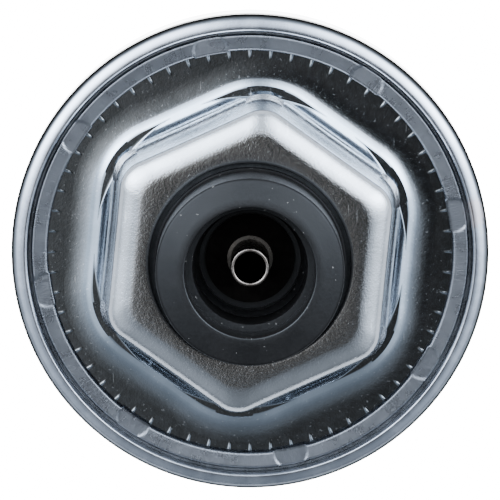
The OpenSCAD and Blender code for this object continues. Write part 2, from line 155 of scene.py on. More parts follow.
def ring_skin(spokes, rings, place):
    """Closed skin around Z. It is drawn as a plain tube, one step high for each ring, whose
    ends are joined, and then place(ring, spoke) puts each corner where it belongs."""
    bm = bmesh.new()
    bmesh.ops.create_circle(bm, segments=spokes, radius=1.0)
    first = bm.edges[:]
    edges = first
    for _ in range(rings - 1):
        made = bmesh.ops.extrude_edge_only(bm, edges=edges)["geom"]
        edges = [g for g in made if isinstance(g, bmesh.types.BMEdge)]
        edges = [e for e in edges if abs(e.verts[0].co.z - e.verts[1].co.z) < 0.5]
        corners = [g for g in made if isinstance(g, bmesh.types.BMVert)]
        bmesh.ops.translate(bm, verts=corners, vec=(0, 0, 1))
    bmesh.ops.bridge_loops(bm, edges=first + edges)
    step = math.tau / spokes
    for v in bm.verts:
        spoke = round(math.atan2(v.co.y, v.co.x) / step) % spokes
        v.co = place(round(v.co.z), spoke)
    return bm


def turned(profile, spokes, shift=None):
    """Closed turned shape of a profile given in millimetres. shift moves a point of the
    profile at an angle, for what isn't perfectly round."""
    bm = bmesh.new()
    layer = bm.verts.layers.int.new("ring")
    corners = [bm.verts.new((radius * MM, 0, height * MM)) for radius, height in profile]
    for ring, corner in enumerate(corners):
        corner[layer] = ring
    for a, b in zip(corners, corners[1:] + corners[:1]):
        bm.edges.new((a, b))
    bmesh.ops.spin(bm, geom=bm.verts[:] + bm.edges[:], cent=(0, 0, 0), axis=(0, 0, 1),
                   angle=math.tau, steps=spokes, use_merge=True)
    if shift:
        for v in bm.verts:
            degrees = math.degrees(math.atan2(v.co.y, v.co.x))
            radius, height = profile[v[layer]]
            v.co = polar(*shift(v[layer], radius, height, degrees), degrees)
    return bm


def hex_radius(degrees, apothem, corner):
    """Polar radius of a hexagon with rounded corners, degrees being from a flat's middle."""
    off = math.radians(abs((degrees + 390) % 60 - 30))
    if apothem * math.tan(off) <= (apothem - corner) * math.tan(math.pi / 6):
        return apothem / math.cos(off)
    reach = (apothem - corner) / math.cos(math.pi / 6)
    side = reach * math.sin(math.pi / 6 - off)
    return reach * math.cos(math.pi / 6 - off) + math.sqrt(max(corner ** 2 - side ** 2, 0))


# ---------------------------------------------------------------- materials

class Paint:
    """A short way to lay out the nodes of one material."""

    def __init__(self, name):
        self.material = bpy.data.materials.new(name)
        self.material.use_nodes = True
        self.tree = self.material.node_tree
        self.shader = self.tree.nodes["Principled BSDF"]
        self.where = self.node("ShaderNodeTexCoord").outputs["Object"]

    def node(self, kind, **values):
        made = self.tree.nodes.new(kind)
        for key, value in values.items():
            if hasattr(made, key):
                setattr(made, key, value)
            else:
                made.inputs[key].default_value = value
        return made

    def link(self, start, end):
        self.tree.links.new(start, end)

    def math(self, operation, a, b=0.0):
        made = self.node("ShaderNodeMath", operation=operation)
        for socket, value in zip(made.inputs, (a, b)):
            if isinstance(value, (int, float)):
                socket.default_value = value
            else:
                self.link(value, socket)
        return made.outputs[0]

    def noise(self, scale, detail=3.0, rough=0.5, where=None):
        made = self.node("ShaderNodeTexNoise", Scale=scale, Detail=detail, Roughness=rough)
        self.link(where or self.where, made.inputs["Vector"])
        return made.outputs["Fac"]

    def ramp(self, factor, low, high, to_low=0.0, to_high=1.0):
        made = self.node("ShaderNodeMapRange", interpolation_type="SMOOTHSTEP")
        self.link(factor, made.inputs["Value"])
        for key, value in (("From Min", low), ("From Max", high),
                           ("To Min", to_low), ("To Max", to_high)):
            made.inputs[key].default_value = value
        return made.outputs["Result"]

    def blend(self, factor, first, second):
        made = self.node("ShaderNodeMix", data_type="RGBA")
        self.link(factor, made.inputs["Factor"])
        for socket, value in ((made.inputs[6], first), (made.inputs[7], second)):
            if isinstance(value, tuple):
                socket.default_value = (*value, 1.0)
            else:
                self.link(value, socket)
        return made.outputs[2]

    def polar_place(self, around, outward):
        """Coordinates that follow a round piece: turns about Z, then radius and height."""
        parts = self.node("ShaderNodeSeparateXYZ")
        self.link(self.where, parts.inputs[0])
        x, y, z = parts.outputs
        turn = self.math("ARCTAN2", y, x)
        radius = self.math("SQRT", self.math("ADD", self.math("MULTIPLY", x, x),
                                             self.math("MULTIPLY", y, y)))
        joined = self.node("ShaderNodeCombineXYZ")
        self.link(self.math("MULTIPLY", turn, around), joined.inputs[0])
        self.link(self.math("MULTIPLY", radius, outward), joined.inputs[1])
        self.link(self.math("MULTIPLY", z, outward), joined.inputs[2])
        return joined.outputs[0], radius, z

    def bump(self, height, distance, strength=1.0, under=None):
        made = self.node("ShaderNodeBump", Strength=strength, Distance=distance)
        self.link(height, made.inputs["Height"])
        if under is not None:
            self.link(under, made.inputs["Normal"])
        return made.outputs["Normal"]

    def colour(self, value):
        if isinstance(value, tuple):
            self.shader.inputs["Base Color"].default_value = (*value, 1.0)
        else:
            self.link(value, self.shader.inputs["Base Color"])

    def finish(self, metallic=0.0, rough=None, normal=None):
        self.shader.inputs["Metallic"].default_value = metallic
        if isinstance(rough, (int, float)):
            self.shader.inputs["Roughness"].default_value = rough
        elif rough is not None:
            self.link(rough, self.shader.inputs["Roughness"])
        if normal is not None:
            self.link(normal, self.shader.inputs["Normal"])
        return self.material


def band(p, place, start, full, end=None, gone=None):
    """A factor that is 0 below start, 1 from full to end, and 0 again past gone. All four
    are heights or radii in millimetres."""
    rise = p.ramp(place, start * MM, full * MM)
    if end is None:
        return rise
    return p.math("MULTIPLY", rise, p.ramp(place, gone * MM, end * MM))


def can_painted_shade(p, radius, height):
    """Where painted shade darkens the can: under the rolled edge, in the bend below the collar
    and down the inner side of the crimped lip."""
    step = DISC_Z - SHEET
    under = band(p, height, ROLL_TOP - 3.0, ROLL_TOP - 2.4, ROLL_TOP - 0.7, ROLL_TOP - 0.35)
    below = band(p, height, step - 0.3, step - 0.1, step + 0.8, step + 1.1)
    outside = p.math("MULTIPLY", p.math("MAXIMUM", under, below), band(p, radius, 22.6, 23.0))
    inside = p.math("MULTIPLY",
                    p.ramp(radius, (LIP_BORE_R + 0.2) * MM, (LIP_BORE_R + 0.05) * MM),
                    p.ramp(height, (LIP_TOP + 0.02) * MM, (LIP_TOP - 0.08) * MM))
    return p.math("MAXIMUM", outside, inside)


def zinc_can():
    """Bright zinc plate on the can: fine lines round the rolled edge, short marks across the
    crimped lip, a pale pinkish patch on the rolled edge by one stake, the outer side of the roll
    and the wall below it darkened as painted shade, and painted shade with weaker reflection
    under the roll, in the bend below the collar and inside the lip."""
    p = Paint("zinc_can")
    around, radius, height = p.polar_place(1.5, 7000.0)
    across, _, _ = p.polar_place(190.0, 900.0)
    lip = band(p, radius, 19.8, 20.1, 21.9, 22.2)
    lines = p.noise(1.0, 2.0, 0.6, around)
    marks = p.noise(1.0, 3.0, 0.65, across)
    cloud = p.noise(420.0, 4.0, 0.6)
    speck = p.noise(4200.0, 2.0, 0.6)
    painted_shade = can_painted_shade(p, radius, height)
    patchy = p.ramp(cloud, 0.35, 0.7)
    bright = p.blend(patchy, (0.50, 0.52, 0.57), (0.62, 0.64, 0.69))
    # painted shade: a darker copy of the zinc for the outer side of the roll and the wall below
    # it
    shaded_wall_tone = p.blend(patchy, (0.16, 0.17, 0.18), (0.24, 0.25, 0.27))
    low = p.ramp(height, (ROLL_TOP - 0.2) * MM, (ROLL_TOP - 0.5) * MM)
    tone = p.blend(p.math("MULTIPLY", low, band(p, radius, 21.8, 22.1)), bright, shaded_wall_tone)
    # a pale pinkish patch on the rolled edge by the first stake
    away = p.node("ShaderNodeVectorMath", operation="DISTANCE")
    p.link(p.where, away.inputs[0])
    away.inputs[1].default_value = polar(22.6, ROLL_TOP, STAKE_ANGLES[0])
    patch_reach = p.math("ADD", away.outputs["Value"], p.math("MULTIPLY", speck, 1.6 * MM))
    tone = p.blend(p.ramp(patch_reach, 2.6 * MM, 1.8 * MM), tone, (0.66, 0.60, 0.60))
    # painted shade: dark colour and weaker reflection under the roll, in the bend below the
    # collar and inside the lip
    tone = p.blend(painted_shade, tone, (0.05, 0.05, 0.05))
    p.link(p.blend(painted_shade, (1.0, 1.0, 1.0), (0.08, 0.08, 0.08)), p.shader.inputs["Specular Tint"])
    tone = p.blend(p.math("MULTIPLY", lip, 0.8), tone, (0.17, 0.17, 0.18))
    p.colour(p.blend(p.math("MULTIPLY", lip, p.ramp(marks, 0.45, 0.75)), tone,
                     (0.26, 0.27, 0.28)))
    rough = p.math("ADD", p.ramp(cloud, 0.3, 0.75, 0.19, 0.25), p.math("MULTIPLY", lip, 0.07))
    rolled = p.bump(p.math("ADD", lines, speck), 0.004 * MM, 0.7)
    return p.finish(1.0, rough, p.bump(p.math("MULTIPLY", marks, lip), 0.03 * MM, 0.8, rolled))


def zinc_hex():
    """Zinc plate on the stamped cover: smooth on the flange and the foot, grainy and greyer on
    the hex, with scattered bright specks and scratches. The flange and the foot carry a bluish
    tint that is a painted reflection of the blue lights."""
    p = Paint("zinc_hex")
    _, _, height = p.polar_place(1.0, 1.0)
    raised = p.ramp(height, (FLANGE_TOP + 0.7) * MM, (FLANGE_TOP + 2) * MM)
    grain = p.noise(4300.0, 3.0, 0.7)
    coarse = p.noise(1800.0, 3.0, 0.6)
    cloud = p.noise(330.0, 4.0, 0.6)
    speck = p.ramp(p.noise(3400.0, 1.0, 0.5), 0.69, 0.74)
    slanted = p.node("ShaderNodeMapping", Rotation=(0.0, 0.0, 0.6), Scale=(900.0, 90.0, 90.0))
    p.link(p.where, slanted.inputs["Vector"])
    scratch = p.ramp(p.noise(3.0, 1.0, 0.4, slanted.outputs[0]), 0.74, 0.78)
    patchy = p.ramp(cloud, 0.3, 0.75)
    # painted reflection: the bluish tone of the low flange and foot stands in for the blue light
    # they mirror
    blue_reflection_tone = p.blend(patchy, (0.46, 0.51, 0.56), (0.56, 0.61, 0.67))
    grainy_tone = p.blend(patchy, (0.52, 0.52, 0.52), (0.63, 0.63, 0.64))
    marks = p.math("MULTIPLY", p.math("MAXIMUM", speck, scratch), 0.5)
    p.colour(p.blend(marks, p.blend(raised, blue_reflection_tone, grainy_tone), (0.8, 0.8, 0.8)))
    rough = p.math("ADD", p.ramp(coarse, 0.3, 0.75, 0.08, 0.12), p.math("MULTIPLY", marks, 0.2))
    share = p.math("ADD", p.math("MULTIPLY", raised, 0.85), 0.15)
    fine = p.bump(p.math("MULTIPLY", grain, share), 0.028 * MM, 0.7)
    return p.finish(1.0, rough, p.bump(coarse, 0.012 * MM, 0.4, fine))


def zinc_port():
    """Turned and plated steel of the port."""
    p = Paint("zinc_port")
    around, _, _ = p.polar_place(1.0, 7000.0)
    lines = p.noise(1.0, 2.0, 0.6, around)
    cloud = p.noise(300.0, 4.0, 0.6)
    p.colour(p.blend(p.ramp(cloud, 0.35, 0.7), (0.40, 0.41, 0.43), (0.52, 0.53, 0.55)))
    return p.finish(1.0, p.ramp(cloud, 0.3, 0.75, 0.22, 0.38), p.bump(lines, 0.01 * MM, 0.7))


def black_plastic():
    """Black moulded connector with a faint grain and a few pale dust specks."""
    p = Paint("black_plastic")
    grain = p.noise(3800.0, 3.0, 0.6)
    cloud = p.noise(400.0, 3.0, 0.5)
    dust = p.ramp(p.noise(2600.0, 1.0, 0.5), 0.755, 0.775)
    tone = p.blend(p.ramp(cloud, 0.3, 0.7), (0.0032, 0.0027, 0.0025), (0.0055, 0.0048, 0.0045))
    p.colour(p.blend(dust, tone, (0.12, 0.11, 0.10)))
    _, radius, _ = p.polar_place(1.0, 1.0)
    edge = p.ramp(radius, (SHELL_R - 0.35) * MM, (SHELL_R - 0.05) * MM, 0.36, 0.08)
    p.link(edge, p.shader.inputs["Specular IOR Level"])
    return p.finish(0.0, p.ramp(grain, 0.3, 0.7, 0.34, 0.44), p.bump(grain, 0.012 * MM, 0.5))


def plated_pin():
    """Warm tin plate of the terminal pin, drawn along its length, with painted shade darkening it
    below the tip and painting its bore near black.
    """
    p = Paint("tin_pin")
    around, radius, height = p.polar_place(40.0, 200.0)
    lines = p.noise(1.0, 2.0, 0.6, around)
    cloud = p.noise(900.0, 3.0, 0.6)
    tone = p.blend(p.ramp(cloud, 0.3, 0.7), (0.22, 0.18, 0.15), (0.36, 0.31, 0.27))
    # painted shade: the bore is painted near black inside the tube's mouth
    bore_shade = p.math("MULTIPLY",
                  p.ramp(radius, (PIN_BORE_R + 0.12) * MM, (PIN_BORE_R + 0.03) * MM),
                  p.ramp(height, (PIN_TOP - 0.12) * MM, (PIN_TOP - 0.3) * MM))
    # painted shade: the pin is darkened below its tip, down in the socket
    tone = p.blend(p.ramp(height, (PIN_TOP - 0.15) * MM, (PIN_TOP - 0.6) * MM), tone,
                   (0.08, 0.07, 0.06))
    p.colour(p.blend(bore_shade, tone, (0.004, 0.004, 0.004)))
    return p.finish(1.0, p.ramp(cloud, 0.3, 0.7, 0.2, 0.36), p.bump(lines, 0.005 * MM, 0.5))


def plain_metal(name, dark, light, rough_low, rough_high, scale, grain_scale, depth):
    """Metal of a hidden piece: patchy colour, patchy gloss and a fine grain."""
    p = Paint(name)
    cloud = p.noise(scale, 4.0, 0.6)
    grain = p.noise(grain_scale, 2.0, 0.6)
    p.colour(p.blend(p.ramp(cloud, 0.35, 0.7), dark, light))
    rough = p.ramp(cloud, 0.3, 0.75, rough_low, rough_high)
    return p.finish(1.0, rough, p.bump(grain, depth * MM, 0.5))


def dull_solid(name, dark, light, rough_low, rough_high, scale, grain_scale, depth):
    """Rubber or board: patchy colour and a fine matt grain."""
    p = Paint(name)
    cloud = p.noise(scale, 4.0, 0.6)
    grain = p.noise(grain_scale, 3.0, 0.6)
    p.colour(p.blend(p.ramp(cloud, 0.35, 0.7), dark, light))
    rough = p.ramp(grain, 0.3, 0.75, rough_low, rough_high)
    return p.finish(0.0, rough, p.bump(grain, depth * MM, 0.6))


def make_materials():
    return {
        "zinc_can": zinc_can(),
        "zinc_hex": zinc_hex(),
        "zinc_port": zinc_port(),
        "black_plastic": black_plastic(),
        "tin_pin": plated_pin(),
        "washer_steel": plain_metal("washer_steel", (0.005, 0.004, 0.004), (0.012, 0.010, 0.009),
                                    0.45, 0.65, 700.0, 4000.0, 0.01),
        "seal_rubber": dull_solid("seal_rubber", (0.012, 0.012, 0.012), (0.03, 0.03, 0.03),
                                  0.55, 0.75, 400.0, 5000.0, 0.02),
        "spring_steel": plain_metal("spring_steel", (0.25, 0.26, 0.28), (0.42, 0.43, 0.46),
                                    0.25, 0.4, 500.0, 5000.0, 0.01),
        "plain_steel": plain_metal("plain_steel", (0.48, 0.49, 0.5), (0.62, 0.63, 0.64),
                                   0.25, 0.42, 350.0, 4500.0, 0.015),
        "diaphragm_steel": plain_metal("diaphragm_steel", (0.66, 0.67, 0.68),
                                       (0.78, 0.79, 0.8), 0.12, 0.24, 250.0, 6000.0, 0.006),
        "brass": plain_metal("brass", (0.62, 0.43, 0.16), (0.83, 0.64, 0.3),
                             0.2, 0.36, 450.0, 5000.0, 0.01),
        "insulator": dull_solid("insulator", (0.16, 0.07, 0.03), (0.27, 0.13, 0.06),
                                0.5, 0.7, 600.0, 3500.0, 0.03),
        "resistance_wire": plain_metal("resistance_wire", (0.4, 0.36, 0.32),
                                       (0.58, 0.53, 0.48), 0.25, 0.4, 700.0, 6000.0, 0.008),
    }


def dress_cad_nodes(materials):
    """Gives each of the part's nodes the material of its slot."""
    slots = {row["node"]: row["material_slot"] for row in frame["record"]["subparts"]}
    for name, node in frame["nodes"].items():
        material = materials[slots[name]]
        if not node.data.materials:
            node.data.materials.append(material)
        for index in range(len(node.data.materials)):
            node.data.materials[index] = material


# ---------------------------------------------------------------- can

def stake_share(radius, degrees):
    """How deep a stake mark is at a place on the lip, from 0 outside it to 1 inside."""
    off = min((abs((degrees - stake + 180) % 360 - 180) for stake in STAKE_ANGLES))
    turn = math.radians(off)
    away = math.hypot(radius * math.sin(turn), radius * math.cos(turn) - STAKE_CENTRE_R)
    return 1.0 - smooth(STAKE_R - 0.1, STAKE_R + 0.04, away)


def can_shell(materials):
    """The drawn can with its dish, ledge, rolled edge, crimped lip and stake marks."""
    floor = CAN_Z + SHEET
    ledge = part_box("diaphragm_gasket")[0].z / MM
    dish_r = 19.0
    bend = 1.8
    body_r = STACK_R + 0.3 + SHEET
    step_z = DISC_Z - SHEET
    roll_z = ROLL_TOP - ROLL_R
    body_profile = (
        [(SPIGOT_R, floor), (SPIGOT_R, CAN_Z)]
        + arc(dish_r - 2, CAN_Z + 2, 2, -90, 0, 10)
        + arc(dish_r + 0.7, ledge - SHEET - 0.7, 0.7, 180, 90, 6)
        + arc(body_r - bend, ledge - SHEET + bend, bend, -90, 0, 10)
        + [(body_r, step_z - 6)]
        + arc(body_r + 0.4, step_z - 0.4, 0.4, 180, 90, 5)
        + arc(CAN_R - 0.8, step_z + 0.8, 0.8, -90, 0, 8)
        + [(CAN_R, roll_z - 2.5)]
        + arc(ROLL_AXIS_R, roll_z, ROLL_R, 0, 90, 26)
        + arc(ROLL_AXIS_R, ROLL_TOP - 0.25, 0.25, 105, 180, 6)
        + [(ROLL_INNER_R, GROOVE_Z + 0.25)]
    )
    groove = [(ROLL_INNER_R - 0.06, GROOVE_Z + 0.05), (ROLL_INNER_R - 0.14, GROOVE_Z),
              (LIP_R + 0.12, GROOVE_Z), (LIP_R + 0.04, GROOVE_Z + 0.06)]
    lip = [(LIP_R, LIP_TOP - 0.26), (LIP_R - 0.03, LIP_TOP - 0.12), (LIP_R - 0.1, LIP_TOP - 0.03)]
    lip += [(mix(LIP_R - 0.22, LIP_BORE_R + 0.24, i / 14), LIP_TOP - 0.06 * i / 14)
            for i in range(15)]
    lip += [(LIP_BORE_R + 0.12, LIP_TOP - 0.09), (LIP_BORE_R + 0.04, LIP_TOP - 0.16),
            (LIP_BORE_R, LIP_TOP - 0.28)]
    inner = [(LIP_BORE_R, FLANGE_TOP), (CAN_R - SHEET, FLANGE_TOP), (CAN_R - SHEET, DISC_Z),
             (body_r - SHEET, DISC_Z), (body_r - SHEET, ledge + 0.3),
             (body_r - SHEET - 0.3, ledge), (dish_r - SHEET, ledge), (dish_r - SHEET, floor)]
    profile = body_profile + groove + lip + inner
    lip_start = len(body_profile) + len(groove) + 1
    lip_end = lip_start + len(lip) - 1

    def shift(ring, radius, height, degrees):
        if lip_start <= ring <= lip_end:
            pressed = stake_share(radius, degrees)
            height = mix(height, min(height, LIP_TOP - STAKE_DEPTH), pressed)
            if radius < LIP_BORE_R + 0.5:
                radius -= 0.12 * pressed
        return radius, height

    bm = turned(profile, 960, shift)
    return finish_piece(bm, "can_shell", materials["zinc_can"], BODY,
                        ["base_can"])


# ---------------------------------------------------------------- hex cover

def foot_place(degrees, turn):
    """Radius and height on the concave foot of the hex. turn is the surface's tilt: up to
    the apron's tilt it is the gently rising apron, and from there the round foot."""
    if turn <= APRON_TILT:
        share = turn / APRON_TILT
        apothem = FOOT_APOTHEM + APRON_W * (1 - share)
        rise = 0.5 * APRON_W * math.radians(APRON_TILT) * share ** 2
        corner = mix(FOOT_CORNER + 1.6, FOOT_CORNER, share)
        return hex_radius(degrees, apothem, corner), FLANGE_TOP + rise
    share = (turn - APRON_TILT) / (FOOT_TILT - APRON_TILT)
    corner = mix(FOOT_CORNER, HEX_CORNER, share)
    run = math.sin(math.radians(turn)) - math.sin(math.radians(APRON_TILT))
    lift = math.cos(math.radians(APRON_TILT)) - math.cos(math.radians(turn))
    start = 0.5 * APRON_W * math.radians(APRON_TILT)
    return (hex_radius(degrees, FOOT_APOTHEM - FOOT_R * run, corner),
            FLANGE_TOP + start + FOOT_R * lift)


def solve_turn(degrees, low, wanted):
    """The tilt above low at which wanted(radius, height) stops holding."""
    high = FOOT_TILT
    for _ in range(30):
        middle = (low + high) / 2
        if wanted(*foot_place(degrees, middle)):
            low = middle
        else:
            high = middle
    return (low + high) / 2


def foot_points(degrees):
    """The foot from the flange to the wall, with the flat ledge cut into each corner."""
    ledge_turn = solve_turn(degrees, 0.0, lambda r, z: z < FLANGE_TOP + LEDGE_H)
    points = [foot_place(degrees, APRON_TILT * i / 5) for i in range(5)]
    points += [foot_place(degrees, mix(APRON_TILT, ledge_turn, i / 5)) for i in range(6)]
    outer_r, ledge_z = points[-1]
    upper = ledge_turn
    if outer_r > LEDGE_CUT_R:
        upper = solve_turn(degrees, ledge_turn, lambda r, z: r > LEDGE_CUT_R)
    width = max(outer_r - LEDGE_CUT_R, 0.0)
    rise = foot_place(degrees, upper)[1] - ledge_z
    round_in = min(0.1, width, rise)
    inner_r = outer_r - width
    points += [(outer_r - (width - round_in) * i / 4, ledge_z) for i in (1, 2, 3, 4)]
    for i in (1, 2, 3):
        t = math.radians(30 * i)
        points.append((inner_r + round_in * (1 - math.sin(t)),
                       ledge_z + round_in * (1 - math.cos(t))))
    points.append((inner_r, mix(ledge_z + round_in, ledge_z + rise, 0.8)))
    points += [foot_place(degrees, mix(upper, FOOT_TILT, i / 14)) for i in range(15)]
    return points


def hex_points(degrees):
    """One spoke of the hex: foot, wall, rounded shoulder, top, hole and the inside."""
    shoulder_r = 2.6
    shoulder_turn = 88
    wall_low = FLANGE_TOP + FOOT_R + 0.2
    wall_top = HEX_TOP - 0.75 * shoulder_r
    top_apothem = HEX_APOTHEM - shoulder_r
    points = [(FLANGE_SPLIT_R, FLANGE_TOP)]
    points += foot_points(degrees)
    for i in range(7):
        apothem = mix(HEX_APOTHEM + 0.4, HEX_APOTHEM, i / 6)
        points.append((hex_radius(degrees, apothem, HEX_CORNER), mix(wall_low, wall_top, i / 6)))
    for i in range(1, 17):
        t = math.radians(shoulder_turn * i / 16)
        apothem = top_apothem + shoulder_r * math.cos(t)
        rise = math.sin(t) / math.sin(math.radians(shoulder_turn))
        height = wall_top + (HEX_TOP - wall_top) * rise
        points.append((hex_radius(degrees, apothem, HEX_CORNER - 0.4 * i / 16), height))
    points += [(COVER_HOLE_R + 0.35, HEX_TOP), (COVER_HOLE_R + 0.16, HEX_TOP - 0.01),
               (COVER_HOLE_R + 0.05, HEX_TOP - 0.05), (COVER_HOLE_R, HEX_TOP - 0.14),
               (COVER_HOLE_R, HEX_TOP - SHEET)]
    inside = [(top_apothem, HEX_CORNER - 0.6, HEX_TOP - SHEET),
              (HEX_APOTHEM - SHEET, HEX_CORNER - SHEET, wall_top - 0.4),
              (HEX_APOTHEM + 0.3 - SHEET, HEX_CORNER - SHEET, wall_low),
              (FOOT_APOTHEM - 1.4, FOOT_CORNER - SHEET, COVER_LOW)]
    points += [(hex_radius(degrees, a, c), z) for a, c, z in inside]
    points.append((FLANGE_SPLIT_R, COVER_LOW))
    return points


def hex_skin(materials):
    """The stamped hex with its concave foot and the ledges at its corners."""
    spokes = 900
    sixth = spokes // 6
    columns = [hex_points(360.0 * k / spokes - HEX_TURN) for k in range(sixth)]

    def place(ring, spoke):
        radius, height = columns[spoke % sixth][ring]
        return polar(radius, height, 360.0 * spoke / spokes)

    bm = ring_skin(spokes, len(columns[0]), place)
    return finish_piece(bm, "hex_skin", materials["zinc_hex"], BODY,
                        ["hex_cover"])


def flange_skin(materials):
    """The cover's flat flange, with a raised tick pressed up at each tooth of the crimper."""
    offsets = [-0.9, -0.6, -0.45, -0.3, -0.15, 0.0, 0.15, 0.3, 0.45, 0.6, 0.9,
               1.6, 2.3, 3.0, 3.8, 4.4]
    spokes = TICK_COUNT * len(offsets)
    radii = [FLANGE_SPLIT_R, 19.1, 19.3, 19.4, 19.5, 19.65, 19.8, 19.95, 20.1, 20.2, 20.3,
             20.5, 21.5]
    profile = [(r, FLANGE_TOP) for r in radii]
    profile += [(CLAMP_R, FLANGE_TOP), (CLAMP_R, COVER_LOW), (FLANGE_SPLIT_R, COVER_LOW)]

    def tick_height(radius, off):
        along = smooth(TICK_INNER_R - 0.1, TICK_INNER_R + 0.3, radius)
        along *= 1 - smooth(TICK_OUTER_R, TICK_OUTER_R + 0.2, radius)
        half = mix(0.09, 0.2, (radius - TICK_INNER_R) / (TICK_OUTER_R - TICK_INNER_R))
        across = abs(math.radians(off)) * radius
        return TICK_H * along * max(1 - across / max(half, 0.06), 0.0)

    def place(ring, spoke):
        sector, index = divmod(spoke, len(offsets))
        off = offsets[index]
        radius, height = profile[ring]
        if ring < len(radii):
            height += tick_height(radius, off)
        return polar(radius, height, 360.0 * sector / TICK_COUNT + off)

    bm = ring_skin(spokes, len(profile), place)
    return finish_piece(bm, "flange_skin", materials["zinc_hex"], BODY,
                        ["hex_cover"], 20.0)


# ---------------------------------------------------------------- connector

def connector(materials):
    """The moulded disc, boss and socket, with the rings where its steps meet."""
    groove_r = SHELL_R - 0.25
    seat_r = COVER_HOLE_R + 0.6
    seal_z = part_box("connector_seal")[0].z / MM
    seal_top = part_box("connector_seal")[1].z / MM
    disc_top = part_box("cover_gasket")[0].z / MM
    face_fall = 0.44
    mouth_r = 6.35
    mouth_z = PIN_TOP + 0.3
    step_r = mouth_r - 0.75
    well_r = step_r - 0.6
    profile = (
        [(SHANK_R, DISC_Z), (CLAMP_R - 0.2, DISC_Z), (CLAMP_R, DISC_Z + 0.2),
         (CLAMP_R, disc_top - 0.2), (CLAMP_R - 0.2, disc_top), (seat_r + 0.5, disc_top),
         (seat_r, disc_top + 0.5), (seat_r, seal_z), (groove_r, seal_z),
         (groove_r, seal_top), (SHELL_R + 0.2, seal_top), (SHELL_R + 0.25, seal_top + 0.05),
         (SHELL_R + 0.25, HEX_TOP), (SHELL_R + 0.15, HEX_TOP + 0.1), (SHELL_R, HEX_TOP + 0.12),
         (SHELL_R, FACE_Z - 1.2)]
        + arc(SHELL_R - 0.35, FACE_Z - face_fall - 0.35, 0.35, 0, 82, 8)
        + [(mix(SHELL_R - 0.3, mouth_r + 0.4, i / 4), FACE_Z - face_fall * (1 - i / 4))
           for i in (1, 2, 3, 4)]
        + arc(mouth_r + 0.16, FACE_Z - 0.16, 0.16, 90, 180, 6)
        + [(mouth_r, mouth_z - 0.35), (mouth_r - 0.06, mouth_z - 0.42),
           (step_r + 0.3, mouth_z - 0.43), (step_r + 0.05, mouth_z - 0.45),
           (step_r, mouth_z - 0.52), (step_r - 0.02, mouth_z - 1.4), (step_r, WASHER_Z + 2.4),
           (well_r + 0.1, WASHER_Z + 2.0), (well_r, WASHER_Z + 1.9), (well_r, WASHER_Z),
           (SHANK_R, WASHER_Z)]
    )
    bm = turned(profile, 288)
    return finish_piece(bm, "connector_shell", materials["black_plastic"],
                        BODY, ["connector_body"])


def pin(materials):
    """The tubular terminal pin with its rolled tip and riveted foot."""
    head = SHANK_R + 1.0
    tip = (PIN_R - PIN_BORE_R) / 2
    profile = (
        [(0.02, PIN_FOOT), (head - 0.1, PIN_FOOT), (head, PIN_FOOT + 0.1),
         (head, PIN_FOOT + 0.3), (head - 0.1, PIN_FOOT + 0.4), (SHANK_R, PIN_FOOT + 0.4),
         (SHANK_R, WASHER_Z + 0.4), (PIN_R, WASHER_Z + 0.45), (PIN_R, PIN_TOP - 1.0)]
        + arc((PIN_R + PIN_BORE_R) / 2, PIN_TOP - tip, tip, 0, 180, 10)
        + [(PIN_BORE_R, PIN_TOP - 3), (PIN_BORE_R, WASHER_Z - 2),
           (0.02, WASHER_Z - 2.75)]
    )
    bm = turned(profile, 128)
    return finish_piece(bm, "terminal_tube", materials["tin_pin"], BODY,
                        ["terminal_pin"])


# ---------------------------------------------------------------- port

def thread_depth(height, degrees, pitch, length):
    """How far the helical thread lies below its crest, in millimetres."""
    phase = (height / pitch - degrees / 360.0) % 1.0
    valley = 1.0 - min(abs(phase - 0.5) / 0.42, 1.0)
    fade = smooth(0.2, 1.4, height) * (1 - smooth(length - 1.6, length - 0.6, height))
    lead = 1 - smooth(0.2, 1.4, height)
    return 0.9 * valley * fade + 0.75 * lead


def port(materials):
    """The port: a right-hand tapered thread, neck, collar and the head staked in the can."""
    pitch = 1.411
    length = 12.0
    crest_r = 6.85
    passage = 2.5
    neck_r = crest_r - 0.9
    collar_z = length + 3.0
    rows = 120
    threads = [(crest_r - (length - z) / 32, z)
               for z in (0.02 + (length - 0.04) * i / rows for i in range(rows + 1))]
    collar_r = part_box("port_fitting")[1].x / MM
    floor = CAN_Z + SHEET
    start = [(passage, 0.0), (neck_r - 0.35, 0.0)]
    rest = (
        [(neck_r, length + 0.3), (neck_r, collar_z - 0.3), (neck_r + 0.3, collar_z),
         (collar_r - 0.25, collar_z)]
        + arc(collar_r - 0.25, collar_z + 0.25, 0.25, -90, 0, 5)
        + arc(collar_r - 0.25, CAN_Z - 0.25, 0.25, 0, 90, 5)
        + [(neck_r, CAN_Z), (neck_r, floor), (neck_r + 1.4, floor),
           (neck_r + 1.3, PORT_TOP - 0.4), (neck_r + 0.9, PORT_TOP), (passage, PORT_TOP)]
    )
    profile = start + threads + rest

    def shift(ring, radius, height, degrees):
        if len(start) <= ring < len(start) + len(threads):
            radius -= thread_depth(height, degrees, pitch, length)
        return radius, height

    bm = turned(profile, 192, shift)
    return finish_piece(bm, "port_thread_skin", materials["zinc_port"], BODY,
                        ["port_fitting"], 50.0)


# ---------------------------------------------------------------- stage

CAMERA_TILT = 7.15
CAMERA_DISTANCE = 0.5
EDGE_SHARE = 0.4772


def camera_axis():
    tilt = math.radians(CAMERA_TILT)
    return Vector((0.0, math.sin(tilt), math.cos(tilt)))


